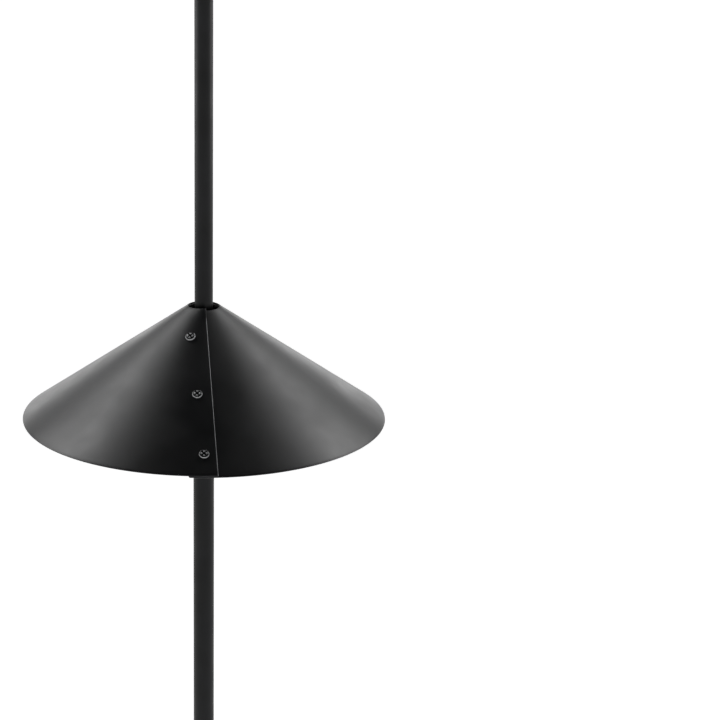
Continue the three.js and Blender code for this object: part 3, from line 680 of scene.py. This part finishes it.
# ---------------------------------------------------------------- fasteners
def pan_head(head_radius, head_height, shank_radius, length, sides=96):
    """Grid and wear of a cross-recess pan-head screw, with its head above z = 0.

    The top is a dome that flattens towards its middle. The recess is two crossed slots: the depth
    falls off smoothly past a slot's half width and past its length, and the deeper slot counts.
    Painted glints, partly standing for wear, show on the head's edge and on the four shoulders between the
    slots.
    """
    crown = np.linspace(0, 1, 44)
    edge = 0.32 * head_height
    dome = np.stack([head_radius * crown, edge + (head_height - edge) * (1 - crown**3.2) ** 0.55], axis=1)
    tip = 0.2 * shank_radius
    shank = [(shank_radius, -0.02), (shank_radius, tip - length), (shank_radius - tip, -length), (0, -length)]
    under = [(head_radius, 0.35 * edge), (head_radius - 0.35 * edge, 0), (shank_radius + 0.02, 0)]
    points = revolved(np.concatenate([dome, under, shank]), sides)
    slot_depth, slot_width, slot_length = 0.7 * head_height, 0.15 * head_radius, 0.66 * head_radius
    x, y = points[..., 0], points[..., 1]
    a, b = (x + y) / math.sqrt(2), (x - y) / math.sqrt(2)
    soft = 0.06 * head_radius
    slots = [slot_fill(p, q, slot_width, slot_length, soft) for p, q in ((a, b), (b, a))]
    inside = np.maximum(*slots)
    top = np.arange(points.shape[1]) < len(crown)
    points[..., 2] -= np.where(top, slot_depth * inside, 0)
    share = np.hypot(x, y) / head_radius
    # Painted glint field: a bright ring at the head's edge and four flecks between the slots.
    rim_wear = np.exp(-(((share - 0.95) / 0.04) ** 2)) * (top | (np.arange(len(top)) == len(crown)))
    shoulder = np.exp(-(((share - 0.46) / 0.16) ** 2)) * np.clip(1 - 3 * inside, 0, 1) * top
    crotch = np.abs(np.abs(a) - np.abs(b)) < 0.34 * head_radius
    return points, np.clip(np.maximum(rim_wear, shoulder * crotch), 0, 1)


def slot_fill(along, across, width, length, soft):
    """1 inside a slot and 0 outside, with a smooth step of size soft at its walls."""
    side = np.clip((width - np.abs(across)) / soft + 0.5, 0, 1)
    end = np.clip((length - np.abs(along)) / (3 * soft) + 0.5, 0, 1)
    return side * side * (3 - 2 * side) * end


def hex_nut(size, height, sides=96):
    """Closed grid of a hexagon nut whose corners are cut back by a 30 degree cone.

    At an angle the flat stands flats / 2 / cos(angle to the flat's middle) from the axis.
    """
    flats, bore = size
    turn = np.arange(sides) * TAU / sides
    flat = flats / 2
    hexagon = flat / np.cos(np.mod(turn + math.pi / 6, math.pi / 3) - math.pi / 6)
    crown = np.full(sides, 0.97 * flat)
    drop = (hexagon - crown) * math.tan(math.radians(30))
    low, high = np.zeros(sides), np.full(sides, height)
    inner, flare = np.full(sides, bore), np.full(sides, bore + 0.12 * flat)
    radius = np.stack([inner, inner, flare, crown, hexagon, hexagon, crown, flare], axis=1)
    lead = 0.1 * height
    level = np.stack([low + lead, high - lead, high, high, high - drop, drop, low, low], axis=1)
    return np.stack([np.cos(turn)[:, None] * radius, np.sin(turn)[:, None] * radius, level], axis=-1)


def screw_piece(name, sizes, length, place, turn):
    """A pan-head screw whose head sits on its place and whose shank points away from it."""
    head_radius, head_height, shank_radius = sizes
    points, wear = pan_head(head_radius, head_height, shank_radius, length)
    return surface(name, placed(points, place, turn), wrap_columns=False, sharp=35, wear=wear)


# Head radius, head height and shank radius of each pan-head screw
M6_HEAD = (6.0, 3.6, 3.0)
M5_HEAD = (4.6, 3.0, 2.5)
M4_HEAD = (4.0, 2.6, 2.0)
# Width across flats and bore radius of each nut
M6_NUT = (10, 3.3)
M5_NUT = (8, 2.8)
M6_NUT_HEIGHT = 5.0
SEAM_SCREW_LENGTH = 14.0
WASHER_RADIUS = 6.0
WASHER_THICKNESS = 1.2
SLANT_GAP = 0.3  # between CAD pieces set at a slant; the finished heads close it


class GARDEN_OT_seam_fasteners(bpy.types.Operator):
    """Set the three screws, washers and nuts through the cone's overlap"""

    bl_idname = "garden.seam_fasteners"
    bl_label = "Seam Fasteners"

    def execute(self, context):
        look = context.scene.baffle_settings
        apex = np.array([0, 0, cone_apex(look)])
        inside = -(2 * SLANT_GAP + 2 * look.sheet + look.layer_gap)
        for number, (slant, azimuth) in enumerate(seam_places(look), start=1):
            turn = turned_matrix(about_x=look.slope, about_z=azimuth)
            seat = cone_point(look, slant, azimuth, look.sheet) + apex
            screw = screw_piece(f"seam_screw_{number}_head", M6_HEAD, SEAM_SCREW_LENGTH, seat, turn)
            finish_as(screw, f"seam_screw_{number}", "black_screw")
            stack = cone_point(look, slant, azimuth, look.sheet + SLANT_GAP) + apex
            under = inside - WASHER_THICKNESS
            ring = tube_profile(M6_NUT[1], WASHER_RADIUS, under, inside)
            washer = ring_piece(f"seam_washer_{number}_ring", ring, 64, 0.2, stack, turn)
            finish_as(washer, f"seam_washer_{number}", "zinc_steel")
            nut_place = stack + turn @ np.array([0, 0, under - SLANT_GAP - M6_NUT_HEIGHT])
            nut = placed(hex_nut(M6_NUT, M6_NUT_HEIGHT), nut_place, turn)
            finish_as(surface(f"seam_nut_{number}_hex", nut, sharp=25), f"seam_nut_{number}", "zinc_steel")
        return {"FINISHED"}


# ---------------------------------------------------------------- hub and collar
class GARDEN_OT_hub_and_collar(bpy.types.Operator):
    """Finish the domed hub, the clamp collar, its liners and their screws"""

    bl_idname = "garden.hub_and_collar"
    bl_label = "Hub and Collar"

    def execute(self, context):
        edge = context.scene.hardware_settings.edge_round
        for node in ("hub_left", "hub_right", "collar_front", "collar_rear"):
            finish_as(softened_copy(node, edge), node, "black_nylon")
        for node in ("liner_front", "liner_rear"):
            finish_as(softened_copy(node, 0.4 * edge), node, "liner_rubber")
        for side in ("left", "right"):
            low, high = box_mm(f"collar_screw_{side}")
            centre = (low + high) / 2
            seat = (centre[0], low[1] + M5_HEAD[1], centre[2])
            turn = turned_matrix(about_x=math.pi / 2)
            screw = screw_piece(f"collar_screw_{side}_pan", M5_HEAD, high[1] - seat[1], seat, turn)
            finish_as(screw, f"collar_screw_{side}", "black_screw")
            nut_low, nut_high = box_mm(f"collar_nut_{side}")
            middle = (nut_low + nut_high) / 2
            place = (middle[0], nut_high[1], middle[2])
            nut = placed(hex_nut(M5_NUT, nut_high[1] - nut_low[1]), place, turn)
            finish_as(surface(f"collar_nut_{side}_hex", nut, sharp=25), f"collar_nut_{side}", "zinc_steel")
        for side in ("front", "rear"):
            low, high = box_mm(f"hub_screw_{side}")
            centre = (low + high) / 2
            seat = (low[0] + M4_HEAD[1], centre[1], centre[2])
            turn = turned_matrix(about_y=-math.pi / 2)
            screw = screw_piece(f"hub_screw_{side}_pan", M4_HEAD, high[0] - seat[0], seat, turn)
            finish_as(screw, f"hub_screw_{side}", "black_screw")
        return {"FINISHED"}


# ---------------------------------------------------------------- poles
TUBE_WALLS = {"lower_pole": 1.5, "upper_pole": 1.2}
SLIDING_FIT = 0.1  # space between a tube and what it slides or sits in
LOCK_SCREW_RADIUS = 3.0


class GARDEN_OT_poles(bpy.types.Operator):
    """Draw the two telescoping tubes and the ferrule between them"""

    bl_idname = "garden.poles"
    bl_label = "Poles"

    def execute(self, context):
        sides = context.scene.pole_settings.sides
        for node, wall in TUBE_WALLS.items():
            low, high = box_mm(node)
            profile = tube_profile(high[0] - wall, high[0], low[2], high[2])
            finish_as(ring_piece(f"{node}_tube", profile, sides), node, "pole_enamel")
        low, high = box_mm("pole_ferrule")
        lower_high = box_mm("lower_pole")[1]
        guide, skirt = box_mm("upper_pole")[1][0] + SLIDING_FIT, lower_high[0] + SLIDING_FIT
        seat = lower_high[2] + SLIDING_FIT
        bore = [(guide, high[2]), (guide, seat), (skirt, seat), (skirt, low[2])]
        profile = [(high[0], low[2]), (high[0], high[2]), *bore]
        finish_as(ring_piece("pole_ferrule_ring", profile, sides, 0.9), "pole_ferrule", "black_nylon")
        return {"FINISHED"}


class GARDEN_OT_pole_lock(bpy.types.Operator):
    """Finish the welded boss, the lock screw and its lobed knob"""

    bl_idname = "garden.pole_lock"
    bl_label = "Pole Lock"

    def execute(self, context):
        edge = context.scene.hardware_settings.edge_round
        finish_as(softened_copy("lock_boss", 0.4 * edge), "lock_boss", "pole_enamel")
        low, high = box_mm("lock_screw")
        centre = (low + high) / 2
        turn = turned_matrix(about_y=math.pi / 2)
        length = high[0] - low[0]
        profile = [(0, 0), (LOCK_SCREW_RADIUS, 0), (LOCK_SCREW_RADIUS, length), (0, length)]
        screw = spindle_piece("lock_screw_rod", profile, 48, 0.5, (low[0], centre[1], centre[2]), turn)
        finish_as(screw, "lock_screw", "zinc_steel")
        finish_as(softened_copy("lock_knob", 2 * edge, sharp=50), "lock_knob", "black_nylon")
        return {"FINISHED"}


# ---------------------------------------------------------------- set screws, flange and base
SOCKET_WALL = 2.0
FLARE_LIP = 0.4
SPIKE_SHOULDER = 8.0
PLUG_FIT = 0.3


def set_screw(node, nut_node):
    """Finish a set screw and its welded nut, both on the front of the pole."""
    low, high = box_mm(node)
    centre = (low + high) / 2
    seat = (centre[0], low[1] + M6_HEAD[1], centre[2])
    turn = turned_matrix(about_x=math.pi / 2)
    finish_as(screw_piece(f"{node}_pan", M6_HEAD, high[1] - seat[1], seat, turn), node, "black_screw")
    low, high = box_mm(nut_node)
    middle = (low + high) / 2
    nut = placed(hex_nut(M6_NUT, high[1] - low[1]), (middle[0], high[1], middle[2]), turn)
    finish_as(surface(f"{nut_node}_hex", nut, sharp=25), nut_node, "zinc_steel")


class GARDEN_OT_feeder_flange(bpy.types.Operator):
    """Finish the round plate and flared socket that carry a feeder"""

    bl_idname = "garden.feeder_flange"
    bl_label = "Feeder Flange"

    def execute(self, context):
        sides = context.scene.pole_settings.sides
        finish_as(softened_copy("flange_plate", 0.6), "flange_plate", "pole_enamel")
        low, high = box_mm("flange_socket")
        inner = box_mm("upper_pole")[1][0] + SLIDING_FIT
        outer = inner + SOCKET_WALL
        flare = high[0] - outer
        knee = (outer + 0.3 * flare, high[2] - 0.3 * flare)
        skin = [(outer, low[2]), (outer, high[2] - flare), knee, (high[0], high[2] - FLARE_LIP)]
        profile = [*skin, (high[0], high[2]), (inner, high[2]), (inner, low[2])]
        finish_as(ring_piece("flange_socket_flare", profile, sides, 3.0), "flange_socket", "pole_enamel")
        set_screw("flange_lock_screw", "flange_lock_nut")
        return {"FINISHED"}


class GARDEN_OT_ground_base(bpy.types.Operator):
    """Finish the step plate, socket, gussets, prongs and spike"""

    bl_idname = "garden.ground_base"
    bl_label = "Ground Base"

    def execute(self, context):
        sides = context.scene.pole_settings.sides
        finish_as(softened_copy("step_plate", 0.8), "step_plate", "pole_enamel")
        low, high = box_mm("base_socket")
        pole_low, pole_high = box_mm("lower_pole")
        profile = tube_profile(pole_high[0] + SLIDING_FIT, high[0], low[2], high[2])
        finish_as(ring_piece("base_socket_tube", profile, sides, 0.5), "base_socket", "pole_enamel")
        for number in range(1, 5):
            finish_as(softened_copy(f"gusset_{number}", 0.5), f"gusset_{number}", "pole_enamel")
            finish_as(prong_piece(f"prong_{number}"), f"prong_{number}", "pole_enamel")
        low, high = box_mm("ground_spike")
        shoulder = pole_low[2] - SLIDING_FIT
        plug = pole_high[0] - TUBE_WALLS["lower_pole"] - PLUG_FIT
        point = [(0, low[2]), (high[0], shoulder - SPIKE_SHOULDER), (high[0], shoulder)]
        profile = [*point, (plug, shoulder), (plug, high[2]), (0, high[2])]
        finish_as(spindle_piece("ground_spike_point", profile, sides, 0.8), "ground_spike", "zinc_steel")
        set_screw("base_lock_screw", "base_lock_nut")
        return {"FINISHED"}


def prong_piece(node, point=30.0, shank=4.5, head_height=4.0):
    """Pointed rod with a domed head: a quarter circle squashed to the head's height."""
    low, high = box_mm(node)
    centre = (low + high) / 2
    head = (high[0] - low[0]) / 2
    seat = high[2] - head_height
    angle = np.linspace(0, math.pi / 2, 12)
    dome = np.stack([head * np.cos(angle), seat + head_height * np.sin(angle)], axis=1)
    rod = [(0, low[2]), (shank, low[2] + point), (shank, seat)]
    points = revolved(np.concatenate([rod, dome]), 48)
    return surface(f"{node}_rod", placed(points, (centre[0], centre[1], 0)), wrap_columns=False)


# ---------------------------------------------------------------- studio
FLOOR_DROP = 1.0  # the floor lies this far under the spike's tip
FLOOR_RADIUS = 40000.0
FLOOR_RINGS = 12
SENSOR_WIDTH = 36


def floor_material(look):
    """Matt white vinyl floor that glows evenly all round, with painted shade where the glow is turned down at
    the object's foot.
    """
    made, tree, shader, place = new_material("studio_floor_white")
    mottled = blend_colours(tree, noise(tree, place, 400, 2), look.floor, tuple(0.99 * c for c in look.floor))
    tree.links.new(mottled, shader.inputs["Base Color"])
    shader.inputs["Roughness"].default_value = 0.9
    shader.inputs["Emission Color"].default_value = (1, 1, 1, 1)
    reach = add_node(tree, "ShaderNodeVectorMath", {"operation": "LENGTH"}, {0: place}).outputs["Value"]
    # Painted shade: the glow is turned down near the object's foot.
    glow = remap(tree, reach, 0.3, 1.4, look.painted_shade_at_foot, look.glow)
    tree.links.new(glow, shader.inputs["Emission Strength"])
    return made


def floor_disc(level):
    """Flat disc at a level in millimetres, whose rings grow with the square of their number."""
    rings = FLOOR_RADIUS * np.linspace(0, 1, FLOOR_RINGS) ** 2
    return revolved(np.stack([rings, np.full(FLOOR_RINGS, level)], axis=1), 96)


# Name, place from the middle of the rim (m), width (m) and power (W) of each softbox
SOFTBOXES = (
    ("near_left", (-0.55, 0.35, 0.8), 0.5, 1.55),
    ("near_right", (0.55, 0.35, 0.8), 0.5, 1.35),
    ("rear_left", (-0.9, 0.9, 0.95), 0.8, 2.2),
    ("rear_right", (0.9, 0.9, 0.95), 0.8, 2.6),
    ("low_left", (-0.5, 0.1, 0.35), 0.3, 0.75),
    ("low_right", (0.5, 0.1, 0.35), 0.3, 0.68),
    ("overhead", (0.1, 0.08, 0.55), 0.15, 0.05),
)


def soft_light(name, place, width, power, rim_height):
    """Square area light that looks at the cone from a place given from the middle of its rim."""
    data = bpy.data.lights.new(name, "AREA")
    data.shape = "SQUARE"
    data.size = width
    data.energy = power
    light = bpy.data.objects.new(name, data)
    bpy.context.scene.collection.objects.link(light)
    light.location = Vector(place) + Vector((0, 0, rim_height))
    aim = Vector((0, 0, rim_height + 0.05)) - light.location
    light.rotation_euler = aim.to_track_quat("-Z", "Y").to_euler()
    light.visible_camera = False


def eased(tree, value, start, end):
    """0 at start and 1 at end, with a smooth step between them."""
    inputs = {"Value": value, "From Min": start, "From Max": end}
    step = add_node(tree, "ShaderNodeMapRange", {"interpolation_type": "SMOOTHSTEP"}, inputs)
    return step.outputs["Result"]


def studio_sky(look):
    """Pale walls low round the room, a lit backdrop behind the object, and darkness overhead.

    The walls fade out with the direction's height. The backdrop fades with its height too, and
    with how far it turns away from straight behind.
    """
    world = bpy.data.worlds.new("studio_sky")
    bpy.context.scene.world = world
    world.use_nodes = True
    tree = world.node_tree
    tree.nodes.clear()
    direction = add_node(tree, "ShaderNodeTexCoord").outputs["Generated"]
    parts = add_node(tree, "ShaderNodeSeparateXYZ", inputs={0: direction})
    rise, back = parts.outputs["Z"], parts.outputs["Y"]
    walls = eased(tree, rise, 0.24, 0.08)
    behind = times(tree, eased(tree, rise, 0.44, 0.14), eased(tree, back, 0.7, 1.0))
    inputs = {0: behind, 1: look.backdrop, 2: walls}
    light = add_node(tree, "ShaderNodeMath", {"operation": "MULTIPLY_ADD"}, inputs).outputs[0]
    sky = add_node(tree, "ShaderNodeBackground", inputs={"Color": (1, 1, 1, 1), "Strength": light})
    output = add_node(tree, "ShaderNodeOutputWorld")
    tree.links.new(sky.outputs["Background"], output.inputs["Surface"])


def studio_camera(look, rim_height):
    """Camera that looks down at the baffle from the front, with a long lens."""
    data = bpy.data.cameras.new("studio_camera")
    data.lens = look.lens
    data.sensor_width = SENSOR_WIDTH
    data.shift_x = look.shift
    camera = bpy.data.objects.new("studio_camera", data)
    bpy.context.scene.collection.objects.link(camera)
    aim = Vector((0, 0, rim_height + look.aim_rise))
    back = Vector((0, -math.cos(look.pitch), math.sin(look.pitch)))
    camera.location = aim + back * look.distance
    camera.rotation_euler = (math.pi / 2 - look.pitch, 0, 0)
    data.clip_end = 200
    bpy.context.scene.camera = camera


class GARDEN_OT_studio(bpy.types.Operator):
    """Lay the floor and set the lights and the camera"""

    bl_idname = "garden.studio"
    bl_label = "Studio"

    def execute(self, context):
        look = context.scene.studio_settings
        level = cad_bounds[0][2] / MM - FLOOR_DROP
        floor = surface("studio_floor", floor_disc(level), wrap_columns=False)
        floor.data.materials.append(floor_material(look))
        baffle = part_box("baffle_cone")
        rim_height = baffle[0][2]
        for name, place, size, power in SOFTBOXES:
            soft_light(f"softbox_{name}", place, size, power * look.power, rim_height)
        studio_sky(look)
        studio_camera(look, rim_height)
        context.scene.view_settings.view_transform = "Standard"
        return {"FINISHED"}


# ---------------------------------------------------------------- panel and registration
OPERATORS = (
    GARDEN_OT_studio,
    GARDEN_OT_poles,
    GARDEN_OT_pole_lock,
    GARDEN_OT_hub_and_collar,
    GARDEN_OT_baffle_cone,
    GARDEN_OT_seam_fasteners,
    GARDEN_OT_feeder_flange,
    GARDEN_OT_ground_base,
)


class GARDEN_PT_baffle_pole(bpy.types.Panel):
    """Sizes, colours and build steps of the baffle and its pole"""

    bl_label = "Baffle Pole"
    bl_idname = "GARDEN_PT_baffle_pole"
    bl_space_type = "VIEW_3D"
    bl_region_type = "UI"
    bl_category = "Baffle Pole"

    def draw(self, context):
        for name, group in SETTINGS.items():
            box = self.layout.box()
            box.label(text=group.__doc__)
            for field in group.__annotations__:
                box.prop(getattr(context.scene, name), field)
        for operator in OPERATORS:
            self.layout.operator(operator.bl_idname)


def register():
    for cls in (*SETTINGS.values(), *OPERATORS, GARDEN_PT_baffle_pole):
        bpy.utils.register_class(cls)
    for name, group in SETTINGS.items():
        setattr(bpy.types.Scene, name, PointerProperty(type=group))


def unregister():
    for name in SETTINGS:
        delattr(bpy.types.Scene, name)
    for cls in (GARDEN_PT_baffle_pole, *reversed(OPERATORS), *reversed(SETTINGS.values())):
        bpy.utils.unregister_class(cls)


def main():
    register()
    bpy.ops.garden.studio()
    bpy.ops.garden.poles()
    bpy.ops.garden.pole_lock()
    bpy.ops.garden.hub_and_collar()
    bpy.ops.garden.baffle_cone()
    bpy.ops.garden.seam_fasteners()
    bpy.ops.garden.feeder_flange()
    bpy.ops.garden.ground_base()


if __name__ == "__main__":
    main()
